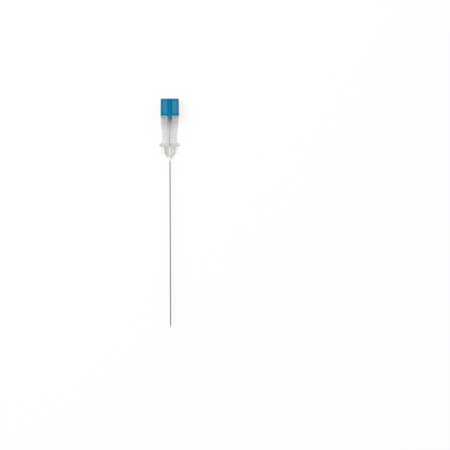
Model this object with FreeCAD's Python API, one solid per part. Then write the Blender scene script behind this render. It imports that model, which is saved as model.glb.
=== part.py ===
import FreeCAD, Part
import math
import os

from FreeCAD import Vector

# A spinal needle with its stylet in place: a 23 gauge cannula in a clear hub, and a wire stylet
# with a coloured cap whose key sits in the hub's notch. Lengths are millimetres.
#
# The needle lies along Y on the plane z = 0, cap towards +Y and point towards -Y. The key and the
# ground bevel both face +Z. A place along the needle is a station, counted from the cap's flat
# end towards the point.

# Steel tube and wire
CANNULA_OD = 0.64
CANNULA_BORE = 0.40
WIRE_CLEARANCE = 0.03
EXPOSED_LENGTH = 90.0
BEVEL_LENGTH = 2.1
FACET_TURN_DEG = 40.0
FACET_EXTRA_DEG = 3.5

# Bonded joints, and the seat between cap and hub
BOND_GAP = 0.02
SEAT_GAP = 0.05

# Stylet cap
CAP_LENGTH = 9.05
CAP_WIDTH = 9.66
CAP_END_WIDTH = 9.46
CAP_CORNER = 0.9
CAP_END_ROUND = 0.35
CAP_RIB_WIDTH = 2.4
CAP_RIB_ROUND = 0.5
CAP_BORDER = 0.75
CAP_END_BORDER = 0.7
CAP_FOOT_BORDER = 1.0
CAP_PANEL_DEPTH = 0.6
GRIP_RIB_PITCH = 0.54
GRIP_RIB_RADIUS = 0.16
GRIP_RIB_MARGIN = 0.35

# Key on the cap, and its notch in the hub
KEY_WIDTH = 1.7
KEY_LENGTH = 1.2
KEY_DEPTH = 1.4
KEY_CORNER = 0.35
KEY_CLEARANCE = 0.1
NOTCH_FLARE = 0.7

# Stylet plug
PLUG_SHANK_DIAMETER = 2.6
PLUG_SHANK_LENGTH = 4.2
PLUG_COLLAR_DIAMETER = 4.0
PLUG_COLLAR_LENGTH = 0.9
PLUG_CONE_LENGTH = 2.8
PLUG_END_DIAMETER = 2.4
PLUG_TIP_LENGTH = 1.0
WIRE_GRIP_LENGTH = 3.4

# Hub
HUB_DEPTH = 7.6
RIM_WIDTH = 9.7
WAIST_WIDTH = 7.8
WAIST_TO_FLANGE = 3.3
FLARE_WIDTH = 9.6
GRIP_LENGTH = 14.8
GRIP_CORNER = 1.1
RIM_ROUND = 0.3
PANEL_BORDER = 1.15
PANEL_RIM_MARGIN = 2.3
PANEL_FLANGE_MARGIN = 1.3
PANEL_DEPTH = 0.55
LUER_MOUTH = 4.3
LUER_TAPER = 0.06
LUER_DEPTH = 14.6
FUNNEL_LENGTH = 1.0
FLANGE_WIDTH = 11.1
FLANGE_THICKNESS = 1.3
FLANGE_CORNER = 1.2
FLANGE_ROUND = 0.4
DOME_DIAMETER = 6.26
DOME_STRAIGHT = 1.8
DOME_ROUND_LENGTH = 4.3
NOSE_DIAMETER = 2.2
FIN_SPAN = 8.9
FIN_LENGTH = 4.1
FIN_THICKNESS = 1.2
FIN_CORNER = 0.35
WELL_DIAMETER = 1.0
WELL_LENGTH = 5.8

# Adhesive bead outside the nose
BEAD_BASE_DIAMETER = 1.9
BEAD_NECK_DIAMETER = 1.4
BEAD_STEP = 0.6
BEAD_LENGTH = 1.5
BEAD_BULGE = 0.1
BEAD_EDGE = 0.04

# Stations that follow from the sizes above
RIM = CAP_LENGTH + SEAT_GAP
FLANGE_TOP = RIM + GRIP_LENGTH
FLANGE_FOOT = FLANGE_TOP + FLANGE_THICKNESS
NOSE = FLANGE_FOOT + DOME_STRAIGHT + DOME_ROUND_LENGTH
POINT = NOSE + EXPOSED_LENGTH
FUNNEL_TOP = RIM + LUER_DEPTH
THROAT = FUNNEL_TOP + FUNNEL_LENGTH
WELL_TOP = NOSE - WELL_LENGTH
WIRE_TOP = CAP_LENGTH - WIRE_GRIP_LENGTH

AXIS_HEIGHT = HUB_DEPTH / 2
WIRE_RADIUS = CANNULA_BORE / 2 - WIRE_CLEARANCE

# How far a cutter runs past what it cuts, and how near two places count as one
OVERRUN = 1.0
NEAR = 1e-4


def at(x, station, z):
    """The point at this width, station and height."""
    return Vector(x, POINT / 2 - station, z)


def on_axis(station):
    """The point of the needle's axis at this station."""
    return at(0, station, AXIS_HEIGHT)


def rod(diameter, start, end):
    """A round rod on the needle's axis between two stations."""
    return Part.makeCylinder(diameter / 2, end - start, on_axis(start), Vector(0, -1, 0))


def cone(start_diameter, end_diameter, start, end):
    """A cone on the needle's axis between two stations."""
    return Part.makeCone(start_diameter / 2, end_diameter / 2, end - start, on_axis(start), Vector(0, -1, 0))


def line(start, end):
    return Part.LineSegment(start, end).toShape()


def arc(start, middle, end):
    return Part.Arc(start, middle, end).toShape()


def tangent_arc(start, direction, end):
    """The arc that leaves start in this direction and ends at end.

    It turns by twice the angle between the direction and its chord, so its middle stands off the
    chord's middle, to the direction's side, by half the chord times the tangent of half that angle.
    """
    chord = end - start
    half_turn = direction.getAngle(chord)
    off_chord = direction - chord * (direction.dot(chord) / chord.dot(chord))
    off_chord.normalize()
    middle = start + chord / 2 + off_chord * (chord.Length / 2 * math.tan(half_turn / 2))
    return arc(start, middle, end)


def revolved(edges):
    """The solid that this closed outline, drawn beside the axis, sweeps round it."""
    return Part.Face(Part.Wire(edges)).revolve(on_axis(0), Vector(0, 1, 0), 360)


def edges_at(shape, station):
    """The shape's edges that lie whole in the plane across the needle at this station."""
    y = POINT / 2 - station
    found = []
    for edge in shape.Edges:
        box = edge.BoundBox
        if abs(box.YMin - y) < NEAR and abs(box.YMax - y) < NEAR:
            found.append(edge)
    return found


def upright_edges(shape):
    """The shape's edges that run straight along Z."""
    return [edge for edge in shape.Edges if max(edge.BoundBox.XLength, edge.BoundBox.YLength) < NEAR]


def upright_edges_at(shape, station):
    """The shape's edges that run straight along Z at this station."""
    y = POINT / 2 - station
    return [edge for edge in upright_edges(shape) if abs(edge.BoundBox.YMin - y) < NEAR]


def crosswise_edges(shape):
    """The shape's edges that run straight along X."""
    return [edge for edge in shape.Edges if max(edge.BoundBox.YLength, edge.BoundBox.ZLength) < NEAR]


def lengthwise_edges(shape):
    """The shape's edges that run along the needle at one height, straight or curved."""
    found = []
    for edge in shape.Edges:
        if edge.BoundBox.ZLength < NEAR and edge.BoundBox.YLength > NEAR:
            found.append(edge)
    return found


def mirrored_front_to_back(shape):
    return shape.mirror(on_axis(0), Vector(0, 0, 1))


def mirrored_side_to_side(shape):
    return shape.mirror(on_axis(0), Vector(1, 0, 0))


def grind():
    """What the grinding wheel takes off: a flat bevel, and two side facets that sharpen its point.

    Each face passes through the point, at the back of the tube. The bevel rises over its length
    to the front of the tube. The facets are steeper and turned to either side about the axis.
    """
    slope = math.atan2(CANNULA_OD, BEVEL_LENGTH)
    tip = at(0, POINT, AXIS_HEIGHT - CANNULA_OD / 2)
    reach = 4 * BEVEL_LENGTH
    taken = []
    for turn, extra in ((0, 0), (FACET_TURN_DEG, FACET_EXTRA_DEG), (-FACET_TURN_DEG, FACET_EXTRA_DEG)):
        block = Part.makeBox(2 * reach, 2 * reach, reach, Vector(-reach, -reach, 0))
        block.rotate(Vector(0, 0, 0), Vector(1, 0, 0), math.degrees(slope) + extra)
        block.rotate(Vector(0, 0, 0), Vector(0, 1, 0), turn)
        block.translate(tip)
        taken.append(block)
    return taken[0].fuse(taken[1:])


def cannula():
    """The tube, from the hub's throat to the point."""
    tube = rod(CANNULA_OD, THROAT, POINT)
    tube = tube.cut(rod(CANNULA_BORE, THROAT - OVERRUN, POINT + OVERRUN))
    return tube.cut(grind())


def stylet_wire():
    """The solid wire that fills the tube, ground with it so that the two are flush."""
    wire = rod(2 * WIRE_RADIUS, WIRE_TOP, POINT)
    return wire.cut(grind())


def grip_outline(inset, start, end):
    """The grip between two stations, seen from the front: a long taper to the waist, then a flare."""
    rim = RIM_WIDTH / 2 - inset
    waist = WAIST_WIDTH / 2 - inset
    flare = FLARE_WIDTH / 2 - inset
    waist_station = FLANGE_TOP - WAIST_TO_FLANGE
    edges = [
        line(at(-rim, RIM, 0), at(rim, RIM, 0)),
        line(at(-flare, FLANGE_TOP, 0), at(flare, FLANGE_TOP, 0)),
    ]
    for side in (-1, 1):
        top = at(side * rim, RIM, 0)
        middle = at(side * waist, waist_station, 0)
        edges.append(line(top, middle))
        edges.append(tangent_arc(middle, middle - top, at(side * flare, FLANGE_TOP, 0)))
    face = Part.Face(Part.Wire(Part.__sortEdges__(edges)))
    solid = face.extrude(Vector(0, 0, HUB_DEPTH))
    width = RIM_WIDTH + FLARE_WIDTH
    window = Part.makeBox(width, end - start, HUB_DEPTH, at(-width / 2, end, 0))
    return solid.common(window)


def grip_body():
    """The waisted block of the grip, its four long corners and its rim rounded."""
    body = grip_outline(0, RIM, FLANGE_TOP)
    body = body.makeFillet(GRIP_CORNER, lengthwise_edges(body))
    return body.makeFillet(RIM_ROUND, edges_at(body, RIM))


def finger_panel():
    """The hollow in the grip's front for a fingertip: a slice of a large cylinder inside a border."""
    start = RIM + PANEL_RIM_MARGIN
    end = FLANGE_TOP - PANEL_FLANGE_MARGIN
    half = (end - start) / 2
    radius = (half ** 2 + PANEL_DEPTH ** 2) / (2 * PANEL_DEPTH)
    middle = at(-RIM_WIDTH, (start + end) / 2, HUB_DEPTH + radius - PANEL_DEPTH)
    scoop = Part.makeCylinder(radius, 2 * RIM_WIDTH, middle, Vector(1, 0, 0))
    return grip_outline(PANEL_BORDER, start, end).common(scoop)


def notch():
    """The slot in the rim for the cap's key, its foot rounded and its mouth flared by two rounds."""
    half = KEY_WIDTH / 2 + KEY_CLEARANCE
    foot = CAP_LENGTH + KEY_LENGTH + KEY_CLEARANCE
    flared = half + NOTCH_FLARE
    slot = Part.makeBox(
        2 * half, foot - RIM + OVERRUN, HUB_DEPTH, at(-half, foot, AXIS_HEIGHT)
    )
    slot = slot.makeFillet(KEY_CORNER + KEY_CLEARANCE, upright_edges_at(slot, foot))
    mouth = Part.makeBox(
        2 * flared, NOTCH_FLARE + OVERRUN, HUB_DEPTH, at(-flared, RIM + NOTCH_FLARE, AXIS_HEIGHT)
    )
    lips = [
        Part.makeCylinder(NOTCH_FLARE, HUB_DEPTH, at(side * flared, RIM + NOTCH_FLARE, AXIS_HEIGHT))
        for side in (-1, 1)
    ]
    return slot.fuse(mouth.cut(lips))


def flange():
    """The thin plate whose two ends stand out as ears, rounded seen from its end, side and front."""
    plate = Part.makeBox(FLANGE_WIDTH, FLANGE_THICKNESS, HUB_DEPTH, at(-FLANGE_WIDTH / 2, FLANGE_FOOT, 0))
    from_end = plate.makeFillet(FLANGE_CORNER, lengthwise_edges(plate))
    from_side = plate.makeFillet(FLANGE_ROUND, crosswise_edges(plate))
    from_front = plate.makeFillet(FLANGE_ROUND, upright_edges(plate))
    return from_end.common(from_side).common(from_front)


def dome():
    """The round nose: a short drum, then one arc that leaves it tangent and ends at the nose."""
    drum = DOME_DIAMETER / 2
    shoulder = at(drum, FLANGE_FOOT + DOME_STRAIGHT, AXIS_HEIGHT)
    tip = at(NOSE_DIAMETER / 2, NOSE, AXIS_HEIGHT)
    start = at(drum, FLANGE_TOP, AXIS_HEIGHT)
    return revolved([
        line(on_axis(FLANGE_TOP), start),
        line(start, shoulder),
        tangent_arc(shoulder, shoulder - start, tip),
        line(tip, on_axis(NOSE)),
        line(on_axis(NOSE), on_axis(FLANGE_TOP)),
    ])


def fins():
    """The flat gusset on each side of the dome, one plate that runs through it."""
    end = FLANGE_FOOT + FIN_LENGTH
    corner = at(-FIN_SPAN / 2, end, AXIS_HEIGHT - FIN_THICKNESS / 2)
    plate = Part.makeBox(FIN_SPAN, FIN_LENGTH + FLANGE_THICKNESS / 2, FIN_THICKNESS, corner)
    return plate.makeFillet(FIN_CORNER, upright_edges_at(plate, end))


def luer_socket():
    """The tapered socket for a syringe, the funnel under it and the passage for the tube."""
    floor_diameter = LUER_MOUTH - LUER_TAPER * LUER_DEPTH
    passage = CANNULA_OD + 2 * BOND_GAP
    socket = cone(LUER_MOUTH + LUER_TAPER * OVERRUN, floor_diameter, RIM - OVERRUN, FUNNEL_TOP)
    funnel = cone(floor_diameter, passage, FUNNEL_TOP, THROAT)
    return socket.fuse([funnel, rod(passage, THROAT - OVERRUN / 2, NOSE + OVERRUN)])


def needle_hub():
    """The clear moulding that joins tube, syringe and cap."""
    body = grip_body().fuse([flange(), dome(), fins()])
    panel = finger_panel()
    well = rod(WELL_DIAMETER, WELL_TOP, NOSE + OVERRUN)
    body = body.cut([panel, mirrored_front_to_back(panel), notch(), luer_socket(), well])
    return body.removeSplitter()


def hub_adhesive():
    """The cured glue in the well, with the two soft steps of its bead outside the nose."""
    inner = CANNULA_OD / 2 + BOND_GAP
    wall = WELL_DIAMETER / 2 - BOND_GAP
    base = BEAD_BASE_DIAMETER / 2
    neck = BEAD_NECK_DIAMETER / 2
    step = NOSE + BEAD_STEP
    end = NOSE + BEAD_LENGTH

    top = WELL_TOP + BOND_GAP
    upper_middle = (base + neck) / 2 + BEAD_BULGE
    lower_middle = (neck + inner) / 2 + BEAD_BULGE

    def ring(radius, station):
        return at(radius, station, AXIS_HEIGHT)

    return revolved([
        line(ring(inner, top), ring(wall, top)),
        line(ring(wall, top), ring(wall, NOSE)),
        line(ring(wall, NOSE), ring(base, NOSE)),
        arc(ring(base, NOSE), ring(upper_middle, NOSE + BEAD_STEP / 2), ring(neck, step)),
        arc(ring(neck, step), ring(lower_middle, (step + end) / 2), ring(inner + BEAD_EDGE, end)),
        line(ring(inner + BEAD_EDGE, end), ring(inner, end)),
        line(ring(inner, end), ring(inner, top)),
    ])


def stylet_plug():
    """The clear cone that holds the wire: a shank in the cap, a collar, the cone and its round tip.

    The tip is a ball cut off flat, so the wire leaves through a flat face.
    """
    shank = rod(PLUG_SHANK_DIAMETER, CAP_LENGTH - PLUG_SHANK_LENGTH, CAP_LENGTH)
    collar_end = CAP_LENGTH + PLUG_COLLAR_LENGTH
    collar = rod(PLUG_COLLAR_DIAMETER, CAP_LENGTH, collar_end)
    cone_end = collar_end + PLUG_CONE_LENGTH
    taper = cone(PLUG_COLLAR_DIAMETER, PLUG_END_DIAMETER, collar_end, cone_end)
    ball = Part.makeSphere(PLUG_END_DIAMETER / 2, on_axis(cone_end))
    tip = ball.common(rod(2 * PLUG_END_DIAMETER, collar_end, cone_end + PLUG_TIP_LENGTH))
    wire_hole = rod(2 * (WIRE_RADIUS + BOND_GAP), WIRE_TOP - BOND_GAP, cone_end + OVERRUN)
    return shank.fuse([collar, taper, tip]).cut(wire_hole).removeSplitter()


def cap_block():
    """The cap's tapered block, its four long corners and its end rounded."""
    corners = [
        at(-CAP_END_WIDTH / 2, 0, 0),
        at(CAP_END_WIDTH / 2, 0, 0),
        at(CAP_WIDTH / 2, CAP_LENGTH, 0),
        at(-CAP_WIDTH / 2, CAP_LENGTH, 0),
    ]
    face = Part.Face(Part.makePolygon(corners + corners[:1]))
    block = face.extrude(Vector(0, 0, HUB_DEPTH))
    block = block.makeFillet(CAP_CORNER, lengthwise_edges(block))
    return block.makeFillet(CAP_END_ROUND, edges_at(block, 0))


def cap_panel():
    """The sunk panel on one side of the cap's front, with fine ribs left standing in it.

    The pocket's inner wall is the side of the middle rib, and it turns over the rib in a round.
    """
    inner = CAP_RIB_WIDTH / 2
    outer = CAP_END_WIDTH / 2 - CAP_BORDER
    turned = inner - CAP_RIB_ROUND
    reach = CAP_RIB_ROUND * (1 - math.sqrt(0.5))
    foot = CAP_LENGTH - CAP_FOOT_BORDER
    length = foot - CAP_END_BORDER
    floor = HUB_DEPTH - CAP_PANEL_DEPTH
    above = HUB_DEPTH + OVERRUN
    wall_top = at(inner, foot, HUB_DEPTH - CAP_RIB_ROUND)
    rib_top = at(turned, foot, HUB_DEPTH)
    section = Part.Wire([
        line(at(inner, foot, floor), at(outer, foot, floor)),
        line(at(outer, foot, floor), at(outer, foot, above)),
        line(at(outer, foot, above), at(turned, foot, above)),
        line(at(turned, foot, above), rib_top),
        arc(rib_top, at(inner - reach, foot, HUB_DEPTH - reach), wall_top),
        line(wall_top, at(inner, foot, floor)),
    ])
    pocket = Part.Face(section).extrude(Vector(0, length, 0))
    room = outer - inner - 2 * GRIP_RIB_MARGIN
    count = int(room / GRIP_RIB_PITCH + NEAR) + 1
    first = (inner + outer) / 2 - GRIP_RIB_PITCH * (count - 1) / 2
    ribs = []
    for number in range(count):
        low_end = at(first + number * GRIP_RIB_PITCH, foot - GRIP_RIB_MARGIN, floor)
        ribs.append(Part.makeCylinder(
            GRIP_RIB_RADIUS, length - 2 * GRIP_RIB_MARGIN, low_end, Vector(0, 1, 0)
        ))
    return pocket.cut(ribs)


def cap_key():
    """The tongue below the cap that finds the notch, its lower corners rounded."""
    end = CAP_LENGTH + KEY_LENGTH
    root = CAP_FOOT_BORDER / 2
    corner = at(-KEY_WIDTH / 2, end, HUB_DEPTH - KEY_DEPTH)
    tongue = Part.makeBox(KEY_WIDTH, KEY_LENGTH + root, KEY_DEPTH, corner)
    return tongue.makeFillet(KEY_CORNER, upright_edges_at(tongue, end))


def stylet_cap():
    """The coloured block: panels front and back beside a middle rib, and the key in front."""
    panel = cap_panel()
    other = mirrored_side_to_side(panel)
    pockets = [panel, other, mirrored_front_to_back(panel), mirrored_front_to_back(other)]
    socket = rod(
        PLUG_SHANK_DIAMETER + 2 * BOND_GAP,
        CAP_LENGTH - PLUG_SHANK_LENGTH - BOND_GAP,
        CAP_LENGTH + OVERRUN,
    )
    return cap_block().cut(pockets + [socket]).fuse(cap_key()).removeSplitter()


PIECES = {
    "cannula": cannula,
    "needle_hub": needle_hub,
    "hub_adhesive": hub_adhesive,
    "stylet_wire": stylet_wire,
    "stylet_plug": stylet_plug,
    "stylet_cap": stylet_cap,
}

os.makedirs("parts", exist_ok=True)
for name, make in PIECES.items():
    shape = make()
    box = shape.BoundBox
    print(
        f"{name}: solids {len(shape.Solids)} valid {shape.isValid()} volume {shape.Volume:.3f} mm3 "
        f"x {box.XMin:.2f}..{box.XMax:.2f} y {box.YMin:.2f}..{box.YMax:.2f} z {box.ZMin:.2f}..{box.ZMax:.2f}"
    )
    shape.exportStep(f"parts/{name}.step")
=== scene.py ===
# %% [markdown]
# # A spinal needle under studio light
#
# The needle is a steel tube in a clear plastic hub, with a steel wire inside it that hangs on a blue
# cap. Its solids come ready made and at their true size. This script gives them their finishes,
# lays them on a white table and sets up the lamp and the camera.

import bpy
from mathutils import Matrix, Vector


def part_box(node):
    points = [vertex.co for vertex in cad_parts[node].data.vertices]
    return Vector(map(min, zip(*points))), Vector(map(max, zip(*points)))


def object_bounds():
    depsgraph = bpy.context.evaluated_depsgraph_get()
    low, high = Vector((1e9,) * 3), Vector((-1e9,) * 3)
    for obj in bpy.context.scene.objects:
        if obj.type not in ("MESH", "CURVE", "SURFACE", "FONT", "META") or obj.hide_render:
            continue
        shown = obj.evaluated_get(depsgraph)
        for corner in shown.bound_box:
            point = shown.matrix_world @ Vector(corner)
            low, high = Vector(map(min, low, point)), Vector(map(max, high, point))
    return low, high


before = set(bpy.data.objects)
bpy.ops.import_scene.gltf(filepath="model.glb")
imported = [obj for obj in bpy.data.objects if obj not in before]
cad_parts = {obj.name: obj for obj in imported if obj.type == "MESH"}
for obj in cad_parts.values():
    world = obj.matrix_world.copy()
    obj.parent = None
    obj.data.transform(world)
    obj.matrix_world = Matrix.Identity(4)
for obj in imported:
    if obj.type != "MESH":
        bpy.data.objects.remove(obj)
cad_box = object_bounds()
MM = 0.001
print("solids:", sorted(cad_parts))
print("box in mm:", [[round(value / MM, 2) for value in corner] for corner in cad_box])

# %% [markdown]
# ## Colours and nodes
#
# Colours are written as they look on a screen, in hex. Blender's sockets want linear light, so one
# function undoes the screen's curve. Adding a node by hand takes a line for each setting and each
# link. A second function does it in one call, which keeps a material readable from top to bottom.


# %% Helpers for colours and nodes
def linear(hex_colour):
    """The linear RGBA of an sRGB hex colour.

    A channel c up to 0.04045 becomes c / 12.92, and above that ((c + 0.055) / 1.055) to the power 2.4.
    """
    channels = [int(hex_colour[i:i + 2], 16) / 255 for i in (1, 3, 5)]
    return tuple(c / 12.92 if c <= 0.04045 else ((c + 0.055) / 1.055) ** 2.4 for c in channels) + (1.0,)


def add_node(tree, kind, inputs=None, **options):
    """Adds a node of this kind with its options.

    An input is a plain value or the socket that feeds it, and a node stands for its first output.
    """
    node = tree.nodes.new("ShaderNode" + kind)
    for name, value in options.items():
        setattr(node, name, value)
    for name, value in (inputs or {}).items():
        if isinstance(value, bpy.types.Node):
            value = value.outputs[0]
        if isinstance(value, bpy.types.NodeSocket):
            tree.links.new(value, node.inputs[name])
        else:
            node.inputs[name].default_value = value
    return node


def new_material(name):
    """An empty material, and the tree that its nodes go in."""
    material = bpy.data.materials.new(name)
    material.use_nodes = True
    material.node_tree.nodes.clear()
    return material, material.node_tree


def dress(name, material):
    """Gives a solid this material and no other."""
    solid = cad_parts[name]
    solid.data.materials.clear()
    solid.data.materials.append(material)
    print(name, "wears", material.name)


print("mid grey #808080 in linear light:", round(linear("#808080")[0], 3))

# %% [markdown]
# ## Finishes that change with the place
#
# A moulded or ground piece isn't the same all over. Such a change could be painted on a picture that
# is wrapped round the piece, or made with one material for each part of it. Here a material reads the
# place inside the solid instead, in metres, so a change sits where its real size says and needs no
# picture. A patch is a rectangle seen from above, the same on the left and on the right.


# %% Helpers that read the place
def place_sockets(tree):
    """The place in the solid's own frame, its distance from the middle plane, and its Y."""
    place = add_node(tree, "TexCoord").outputs["Object"]
    axes = add_node(tree, "SeparateXYZ", {0: place}).outputs
    sideways = add_node(tree, "Math", {0: axes["X"]}, operation="ABSOLUTE")
    return place, sideways.outputs[0], axes["Y"]


def blend_along(tree, along, stretch, first, second):
    """A colour that changes smoothly from the first to the second over a stretch of Y.

    Inputs 6 and 7 of a Mix node are its two colours, and output 2 is the mixed one.
    """
    limits = {"Value": along, "From Min": stretch[0], "From Max": stretch[1]}
    amount = add_node(tree, "MapRange", limits, interpolation_type="SMOOTHSTEP")
    return add_node(tree, "Mix", {0: amount, 6: first, 7: second}, data_type="RGBA").outputs[2]


def stepped_level(tree, along, first_level, steps):
    """A level along Y that goes smoothly to the next one over the stretch of each step.

    It is the first level plus, for each step, the change of level times a smooth rise from 0 to 1.
    """
    level = first_level
    last_level = first_level
    for (start, stop), next_level in steps:
        limits = {"Value": along, "From Min": start, "From Max": stop, "To Max": next_level - last_level}
        change = add_node(tree, "MapRange", limits, interpolation_type="SMOOTHSTEP")
        level = add_node(tree, "Math", {0: level, 1: change}, operation="ADD")
        last_level = next_level
    return level


def band(tree, value, span, edge):
    """1 inside the span, with a smooth fall to 0 over an edge on both sides of it."""
    start, stop = span
    rise_limits = {"Value": value, "From Min": start - edge, "From Max": start}
    fall_limits = {"Value": value, "From Min": stop, "From Max": stop + edge, "To Min": 1.0, "To Max": 0.0}
    rise = add_node(tree, "MapRange", rise_limits, interpolation_type="SMOOTHSTEP")
    fall = add_node(tree, "MapRange", fall_limits, interpolation_type="SMOOTHSTEP")
    return add_node(tree, "Math", {0: rise, 1: fall}, operation="MULTIPLY")


def patch(tree, place, sideways_span, along_span, edge):
    """1 in a patch of the solid and 0 outside: the product of a band along Y and one sideways."""
    _, sideways, along = place
    bands = {0: band(tree, along, along_span, edge), 1: band(tree, sideways, sideways_span, edge)}
    return add_node(tree, "Math", bands, operation="MULTIPLY")


def tinted_patch(tree, place, tone, patch_tone, sideways_span, along_span, edge):
    """The tone outside a patch and the patch's own tone inside it."""
    amount = patch(tree, place, sideways_span, along_span, edge)
    return add_node(tree, "Mix", {0: amount, 6: tone, 7: patch_tone}, data_type="RGBA").outputs[2]


# %% [markdown]
# ## Drawn and ground steel
#
# The tube and the wire are stainless steel, drawn through a die. Drawing leaves fine lines along
# the length, so the finish is smooth along the tube and a little rough across it. The lines could be
# left to an anisotropic shader, which stretches the highlights but shows no single line. A noise that
# is stretched along Y shows the lines from every side. The real ones are a few microns apart, too
# fine to show, so they are drawn about 0.05 mm apart. The point is ground, and so brighter and duller.

# %% Steel for the tube and the wire
LINES_APART = 0.05 * MM
LINE_STRETCH = 0.004
LINE_DETAIL = 3.0
LINE_DEPTH = 0.01 * MM
LINE_STRENGTH = 0.15
LINE_UNEVENNESS = 0.25

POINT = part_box("cannula")[0].y
GROUND_Y = (POINT + 1.75 * MM, POINT + 2.15 * MM)
GROUND_ROUGHNESS = 0.5
GROUND_STEEL = "#d2cfcb"


def drawn_steel(name, bright, dark, roughness):
    """Steel with drawn lines along Y, and ground steel near the point."""
    material, tree = new_material(name)
    place, _, along = place_sockets(tree)
    stretched = add_node(tree, "Mapping", {"Vector": place, "Scale": (1.0, LINE_STRETCH, 1.0)})
    pattern = {"Vector": stretched, "Scale": 1 / LINES_APART, "Detail": LINE_DETAIL}
    lines = add_node(tree, "TexNoise", pattern)
    shades = {0: lines, 6: linear(dark), 7: linear(bright)}
    drawn = add_node(tree, "Mix", shades, data_type="RGBA").outputs[2]
    tone = blend_along(tree, along, GROUND_Y, linear(GROUND_STEEL), drawn)
    limits = {"Value": lines, "To Min": 1 - LINE_UNEVENNESS, "To Max": 1 + LINE_UNEVENNESS}
    uneven = add_node(tree, "MapRange", limits)
    level = stepped_level(tree, along, GROUND_ROUGHNESS, [(GROUND_Y, roughness)])
    rough = add_node(tree, "Math", {0: level, 1: uneven}, operation="MULTIPLY")
    bump = add_node(tree, "Bump", {"Height": lines, "Strength": LINE_STRENGTH, "Distance": LINE_DEPTH})
    surface = {"Metallic": 1.0, "Base Color": tone, "Roughness": rough, "Normal": bump}
    steel = add_node(tree, "BsdfPrincipled", surface)
    add_node(tree, "OutputMaterial", {"Surface": steel})
    return material


dress("cannula", drawn_steel("drawn_stainless_tube", bright="#aca5a0", dark="#8f8884", roughness=0.28))
# The wire's steel is painted much darker than the tube's, as painted shade for how dim it shows in the hub.
dress("stylet_wire", drawn_steel("drawn_stainless_wire_painted_dark", bright="#6c6a67", dark="#585654", roughness=0.3))

# %% [markdown]
# ## Clear plastic
#
# In a clear piece, what shows is light that is bent and dimmed on its way through. It could be made
# with a Glass shader. A Principled shader with full transmission bends light as well, and it can also
# be partly clear, for milky pieces. A little absorption inside the solid makes the thick parts greyer
# than the thin ones. Polycarbonate has an IOR of 1.58 in tables. With that the flange came out darker
# than it is, so 1.5 is used. A faint haze makes the roughness a little uneven.

# %% A shader for clear pieces
CLEAR_IOR = 1.5
HAZE_SIZE = 2.0 * MM
HAZE_DETAIL = 2.0
HAZE_UNEVENNESS = 0.1


def end_with_clear_plastic(tree, tone, roughness, depth_tint, density, clearness):
    """Ends a tree with clear plastic that has this tone and roughness on its surface.

    The roughness is multiplied by a noise from 0.9 to 1.1. Of the light that goes d metres inside,
    e to the power of -d * density * (1 - depth tint) is left.
    """
    place = add_node(tree, "TexCoord").outputs["Object"]
    haze = add_node(tree, "TexNoise", {"Vector": place, "Scale": 1 / HAZE_SIZE, "Detail": HAZE_DETAIL})
    limits = {"Value": haze, "To Min": 1 - HAZE_UNEVENNESS, "To Max": 1 + HAZE_UNEVENNESS}
    uneven = add_node(tree, "MapRange", limits)
    rough = add_node(tree, "Math", {0: roughness, 1: uneven}, operation="MULTIPLY")
    surface = {"Base Color": tone, "Roughness": rough, "IOR": CLEAR_IOR, "Transmission Weight": clearness}
    clear = add_node(tree, "BsdfPrincipled", surface)
    inside = add_node(tree, "VolumeAbsorption", {"Color": linear(depth_tint), "Density": density})
    add_node(tree, "OutputMaterial", {"Surface": clear, "Volume": inside})


print("spots of haze in mm:", HAZE_SIZE / MM)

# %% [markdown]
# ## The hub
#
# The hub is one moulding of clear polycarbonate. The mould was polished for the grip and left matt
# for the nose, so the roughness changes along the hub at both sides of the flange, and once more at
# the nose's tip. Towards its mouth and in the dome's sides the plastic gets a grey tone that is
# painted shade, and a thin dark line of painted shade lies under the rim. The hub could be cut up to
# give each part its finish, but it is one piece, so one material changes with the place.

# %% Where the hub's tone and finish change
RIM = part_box("needle_hub")[1].y
NOSE_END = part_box("needle_hub")[0].y

# Painted shade: the hub turns greyer towards its mouth over this stretch.
MOUTH_PAINTED_SHADE_Y = (RIM - 9.55 * MM, RIM + 0.45 * MM)
# Painted shade: a thin dark line just under the rim, at both sides of the notch.
RIM_PAINTED_SHADE_LINE_Y = (RIM - 1.0 * MM, RIM - 0.7 * MM)
RIM_PAINTED_SHADE_LINE_X = (1.75 * MM, 4.1 * MM)
RIM_PAINTED_SHADE_LINE_EDGE = 0.15 * MM
# Painted shade: the dome's sides are greyer, and its middle stays clear.
DOME_PAINTED_SHADE_Y = (NOSE_END + 1.85 * MM, NOSE_END + 6.15 * MM)
DOME_PAINTED_SHADE_X = (0.8 * MM, 2.7 * MM)
DOME_EDGE = 0.4 * MM

NOSE_TIP_Y = (NOSE_END + 1.05 * MM, NOSE_END + 3.25 * MM)
FLANGE_FOOT = NOSE_END + 5.4 * MM
FLANGE_TOP = NOSE_END + 6.7 * MM
FINISH_CHANGE = 0.3 * MM
print("flange in mm:", [round(y / MM, 2) for y in (FLANGE_FOOT, FLANGE_TOP)])

# %% Dress the hub
HUB_CLEAR = "#f5f5f4"
# These three greys are painted shade in the clear plastic.
MOUTH_PAINTED_SHADE = "#d0d0d4"
DOME_PAINTED_SHADE = "#d2d2cf"
RIM_PAINTED_SHADE_LINE = "#a2a2a4"
NOSE_TIP_ROUGHNESS = 0.85
NOSE_ROUGHNESS = 0.3
FLANGE_ROUGHNESS = 0.4
GRIP_ROUGHNESS = 0.06


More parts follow.
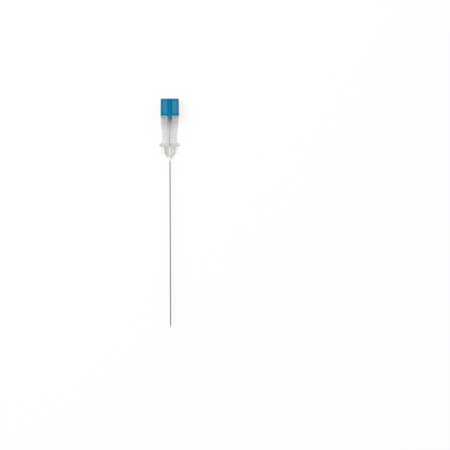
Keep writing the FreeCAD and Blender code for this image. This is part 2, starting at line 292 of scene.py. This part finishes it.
def hub_plastic():
    """Clear plastic, with painted shade at the mouth, dome sides and rim line, and changes of finish."""
    material, tree = new_material("clear_moulded_polycarbonate")
    place = place_sockets(tree)
    along = place[2]
    # Painted shade: grey towards the mouth.
    tone = blend_along(tree, along, MOUTH_PAINTED_SHADE_Y, linear(HUB_CLEAR), linear(MOUTH_PAINTED_SHADE))
    # Painted shade: grey in the dome's sides.
    tone = tinted_patch(tree, place, tone, linear(DOME_PAINTED_SHADE), DOME_PAINTED_SHADE_X, DOME_PAINTED_SHADE_Y, DOME_EDGE)
    # Painted shade: a thin dark line under the rim.
    tone = tinted_patch(
        tree, place, tone, linear(RIM_PAINTED_SHADE_LINE), RIM_PAINTED_SHADE_LINE_X, RIM_PAINTED_SHADE_LINE_Y, RIM_PAINTED_SHADE_LINE_EDGE
    )
    steps = [
        (NOSE_TIP_Y, NOSE_ROUGHNESS),
        ((FLANGE_FOOT - FINISH_CHANGE, FLANGE_FOOT), FLANGE_ROUGHNESS),
        ((FLANGE_TOP, FLANGE_TOP + FINISH_CHANGE), GRIP_ROUGHNESS),
    ]
    level = stepped_level(tree, along, NOSE_TIP_ROUGHNESS, steps)
    end_with_clear_plastic(tree, tone, level, depth_tint="#d8d8d6", density=90.0, clearness=1.0)
    return material


dress("needle_hub", hub_plastic())

# %% [markdown]
# ## Plug and glue
#
# The plug is moulded in milky plastic, and is paler towards its tip, where it is thin. Its grey
# towards the root, under the cap, is painted shade. The glue is a cured resin that is hardly clear,
# and its near white is partly a painted highlight for the dome's bright core. Milkiness is really
# light scattered inside the piece, and could be a scattering volume, which is slow and noisy to
# render. A partly clear surface gives the same tone. The lamp's light passes the hub and the plug on
# its way to the glue and the sheet, where the renderer would otherwise leave a dark shadow.

# %% Dress the plug and the glue
PLUG_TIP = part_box("stylet_plug")[0].y
# Painted shade: the plug turns grey towards its root, under the cap.
PLUG_SHADE_RAMP_Y = (PLUG_TIP + 0.1 * MM, PLUG_TIP + 3.6 * MM)
PALE_PLUG = "#f6f6f6"
PLUG_ROOT_PAINTED_SHADE = "#cacbcd"
# The resin's near white is partly a painted highlight for the dome's bright core.
PALE_RESIN_AND_PAINTED_HIGHLIGHT = "#fffdf8"
PLUG_ROUGHNESS = 0.2
RESIN_ROUGHNESS = 0.2


def plug_plastic():
    """Milky plastic, paler at the plug's tip and greyed towards its root by painted shade."""
    material, tree = new_material("milky_moulded_plug")
    along = place_sockets(tree)[2]
    tone = blend_along(tree, along, PLUG_SHADE_RAMP_Y, linear(PALE_PLUG), linear(PLUG_ROOT_PAINTED_SHADE))
    end_with_clear_plastic(tree, tone, PLUG_ROUGHNESS, depth_tint="#c8c8c6", density=60.0, clearness=0.6)
    return material


def glue_resin():
    """Pale resin that lets a little light through, near white as a painted highlight in the dome."""
    material, tree = new_material("cured_resin_with_painted_highlight")
    tone = linear(PALE_RESIN_AND_PAINTED_HIGHLIGHT)
    end_with_clear_plastic(tree, tone, RESIN_ROUGHNESS, depth_tint="#e6e2d0", density=40.0, clearness=0.04)
    return material


dress("stylet_plug", plug_plastic())
dress("hub_adhesive", glue_resin())
for clear_piece in ("needle_hub", "stylet_plug"):
    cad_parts[clear_piece].visible_shadow = False
    print(clear_piece, "lets the lamp's light pass")

# %% [markdown]
# ## Blue plastic
#
# The cap is moulded in blue plastic, with an IOR of 1.5 as most plastics have. Its sunk panels came
# out of a spark-eroded part of the mould, so they are matt, and their lighter blue is painted light
# for the light that a matt surface scatters. The middle rib's flanks are painted deepest blue, as
# painted shade. The panels could get a material of their own, but the solid's faces aren't sorted by
# panel, so a patch picks them out by place. A fine grain lies over all of it.

# %% Dress the cap
CAP_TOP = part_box("stylet_cap")[1].y
PANEL_Y = (CAP_TOP - 7.9 * MM, CAP_TOP - 0.45 * MM)
PANEL_X = (1.25 * MM, 4.0 * MM)
FLANK_X = (0.65 * MM, 1.1 * MM)
BLUE_EDGE = 0.12 * MM
FRAME_BLUE = "#007aa6"
# Painted shade: the rib's flanks are a deeper blue.
FLANK_PAINTED_SHADE_BLUE = "#00658f"
# The panels' lighter blue is painted light for the light that their matt surface scatters.
PANEL_BLUE_PAINTED_LIGHTER = "#3f93b9"
BLUE_IOR = 1.5
MIRROR_LEVEL = 0.05
FRAME_ROUGHNESS = 0.3
PANEL_ROUGHNESS = 0.65
GRAIN_SIZE = 0.25 * MM
GRAIN_DETAIL = 4.0
GRAIN_DEPTH = 0.02 * MM
GRAIN_STRENGTH = 0.2


def cap_plastic():
    """Blue plastic with painted shade on the rib's flanks, panels painted lighter, and a fine grain."""
    material, tree = new_material("moulded_blue_plastic")
    place = place_sockets(tree)
    tone = linear(FRAME_BLUE)
    # Painted shade on the rib's flanks.
    tone = tinted_patch(tree, place, tone, linear(FLANK_PAINTED_SHADE_BLUE), FLANK_X, PANEL_Y, BLUE_EDGE)
    # Painted light: the matt panels are lighter blue.
    tone = tinted_patch(tree, place, tone, linear(PANEL_BLUE_PAINTED_LIGHTER), PANEL_X, PANEL_Y, BLUE_EDGE)
    panel = patch(tree, place, PANEL_X, PANEL_Y, BLUE_EDGE)
    limits = {"Value": panel, "To Min": FRAME_ROUGHNESS, "To Max": PANEL_ROUGHNESS}
    rough = add_node(tree, "MapRange", limits)
    pattern = {"Vector": place[0], "Scale": 1 / GRAIN_SIZE, "Detail": GRAIN_DETAIL}
    grain = add_node(tree, "TexNoise", pattern)
    bump = add_node(tree, "Bump", {"Height": grain, "Strength": GRAIN_STRENGTH, "Distance": GRAIN_DEPTH})
    surface = {"Base Color": tone, "Roughness": rough, "Normal": bump, "IOR": BLUE_IOR}
    surface["Specular IOR Level"] = MIRROR_LEVEL
    blue = add_node(tree, "BsdfPrincipled", surface)
    add_node(tree, "OutputMaterial", {"Surface": blue})
    return material


dress("stylet_cap", cap_plastic())

# %% [markdown]
# ## The white table
#
# The needle lies on a seamless white sheet. A plain glowing sheet would swallow the needle's shadow,
# and a plain matt one would need so much light that the needle looks washed out. So this one is
# both. It lights the needle from below as a matt white surface. For the camera, and for what clear
# plastic and steel show of it, most of it is a plain white glow, with a faint soft shadow left.

# %% Table
TABLE_HALF = 3.0
SHEET_WHITE = 0.8
GLOW_SHARE = 0.8


def white_sheet():
    """A matt white sheet that, to the rays that see it, is GLOW_SHARE of glow and for the rest matt."""
    material, tree = new_material("matt_white_sheet")
    rays = add_node(tree, "LightPath").outputs
    seen = add_node(tree, "Math", {0: rays["Is Camera Ray"], 1: rays["Is Glossy Ray"]}, operation="MAXIMUM")
    seen = add_node(tree, "Math", {0: seen, 1: rays["Is Transmission Ray"]}, operation="MAXIMUM")
    limits = {"Value": seen, "To Min": SHEET_WHITE, "To Max": 1 - GLOW_SHARE}
    white = add_node(tree, "MapRange", limits)
    matt = add_node(tree, "BsdfDiffuse", {"Color": white})
    strength = add_node(tree, "Math", {0: seen, 1: GLOW_SHARE}, operation="MULTIPLY")
    glow = add_node(tree, "Emission", {"Strength": strength})
    both = add_node(tree, "AddShader", {0: matt, 1: glow})
    add_node(tree, "OutputMaterial", {"Surface": both})
    return material


corners = [(-TABLE_HALF, -TABLE_HALF, 0), (TABLE_HALF, -TABLE_HALF, 0)]
corners += [(TABLE_HALF, TABLE_HALF, 0), (-TABLE_HALF, TABLE_HALF, 0)]
table_mesh = bpy.data.meshes.new("table")
table_mesh.from_pydata(corners, [], [(0, 1, 2, 3)])
table = bpy.data.objects.new("table", table_mesh)
table.data.materials.append(white_sheet())
bpy.context.collection.objects.link(table)
print("side of the table in metres:", 2 * TABLE_HALF)

# %% [markdown]
# ## The room
#
# The studio has bright walls and a dark ceiling over the camera. A photograph of a studio is often
# wrapped round a scene for this, but a brightness that depends only on height does as well here.
# Steel and smooth plastic mirror the ceiling where they face the camera, so their own colour shows.
# Clear plastic shows as white where it bends the view to the sheet, and as grey where it bends it
# to the walls. Where the camera itself looks past the table, the room is plain white.

# %% Room
WALL_LEVEL = 0.7
CEILING_LEVEL = 0.2
CEILING_STARTS = 0.75
CEILING_FULL = 0.97
WHITE_LEVEL = 1.0


def studio_room():
    """The room's brightness by the height of the direction, which is the sine of its slope.

    Inputs 2 and 3 of a Mix node are its two plain values.
    """
    world = bpy.data.worlds.new("studio")
    world.use_nodes = True
    tree = world.node_tree
    tree.nodes.clear()
    direction = add_node(tree, "TexCoord").outputs["Generated"]
    height = add_node(tree, "SeparateXYZ", {0: direction}).outputs["Z"]
    limits = {"Value": height, "From Min": CEILING_STARTS, "From Max": CEILING_FULL}
    limits.update({"To Min": WALL_LEVEL, "To Max": CEILING_LEVEL})
    level = add_node(tree, "MapRange", limits, interpolation_type="SMOOTHSTEP")
    by_camera = add_node(tree, "LightPath").outputs["Is Camera Ray"]
    strength = add_node(tree, "Mix", {0: by_camera, 2: level, 3: WHITE_LEVEL}, data_type="FLOAT")
    room = add_node(tree, "Background", {"Color": linear("#ffffff"), "Strength": strength})
    add_node(tree, "OutputWorld", {"Surface": room})
    return world


bpy.context.scene.world = studio_room()
print("room:", WALL_LEVEL, "at the walls and", CEILING_LEVEL, "overhead")

# %% [markdown]
# ## The lamp
#
# One large softbox hangs to the upper left, and gives the needle its soft shadow to the right. A sun
# would give a hard shadow, and a small lamp a small bright streak on the steel. The softbox isn't
# seen through clear plastic, where it would only leave sparks.

# %% Lamp
LAMP_PLACE = (-0.42, 0.4, 0.95)
LAMP_WIDTH = 0.6
LAMP_WATTS = 6.7

lamp_data = bpy.data.lights.new("softbox", "AREA")
lamp_data.shape = "SQUARE"
lamp_data.size = LAMP_WIDTH
lamp_data.energy = LAMP_WATTS
lamp = bpy.data.objects.new("softbox", lamp_data)
lamp.location = LAMP_PLACE
lamp.rotation_euler = (-lamp.location).to_track_quat("-Z", "Y").to_euler()
lamp.visible_transmission = False
bpy.context.collection.objects.link(lamp)
print("lamp:", LAMP_WATTS, "watts from", round(lamp.location.length, 2), "metres")

# %% [markdown]
# ## The camera
#
# The view is from straight above. A camera without perspective would do for a piece this flat, but
# a long lens is what a studio uses. The picture is 238.7 mm wide at the height of the needle's axis,
# and the needle is left of its middle and a little above it.

# %% Camera
FIELD = 238.7 * MM
LENS = 135.0
SENSOR = 36.0
CLIP_START = 0.01
LEFT_OF_MIDDLE = 29.05 * MM
ABOVE_MIDDLE = 6.3 * MM
ROLL = -0.0038

needle_middle = (Vector(cad_box[0]) + Vector(cad_box[1])) / 2
camera_data = bpy.data.cameras.new("camera")
camera_data.lens = LENS
camera_data.sensor_width = SENSOR
camera_data.clip_start = CLIP_START
camera = bpy.data.objects.new("camera", camera_data)
camera.location = (
    needle_middle.x + LEFT_OF_MIDDLE,
    needle_middle.y - ABOVE_MIDDLE,
    needle_middle.z + FIELD * LENS / SENSOR,
)
camera.rotation_euler = (0, 0, ROLL)
bpy.context.collection.objects.link(camera)
bpy.context.scene.camera = camera
bpy.context.scene.view_settings.view_transform = "Standard"
print("camera height in mm:", round(camera.location.z / MM, 1))
